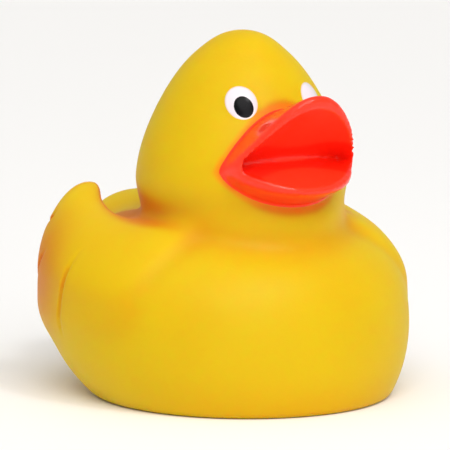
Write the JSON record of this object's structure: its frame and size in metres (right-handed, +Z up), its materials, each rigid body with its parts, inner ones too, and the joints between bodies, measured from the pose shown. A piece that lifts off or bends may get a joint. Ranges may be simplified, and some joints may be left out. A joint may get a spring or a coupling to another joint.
{
  "type": "rubber duck",
  "caption": "Hollow moulded vinyl bath duck with an open red bill, folded wings with raised tips, painted eyes and a flat base with a whistle plug.",
  "frame": {"origin": "the middle of the bounding box's underside, on the plane that the duck rests on", "axes": "the duck faces -Y with its bill, +X is its left side, +Z is up"},
  "size_m": [0.0858, 0.0929, 0.0842],
  "materials": {
    "vinyl_yellow": "satin moulded vinyl, with glossy orange-red paint on the bill and gloss white and black paint on the eyes",
    "whistle_plastic": "smooth injection-moulded plastic"
  },
  "bodies": {
    "root": {"duck_shell": "vinyl_yellow", "squeaker": "whistle_plastic"}
  },
  "joints": []
}
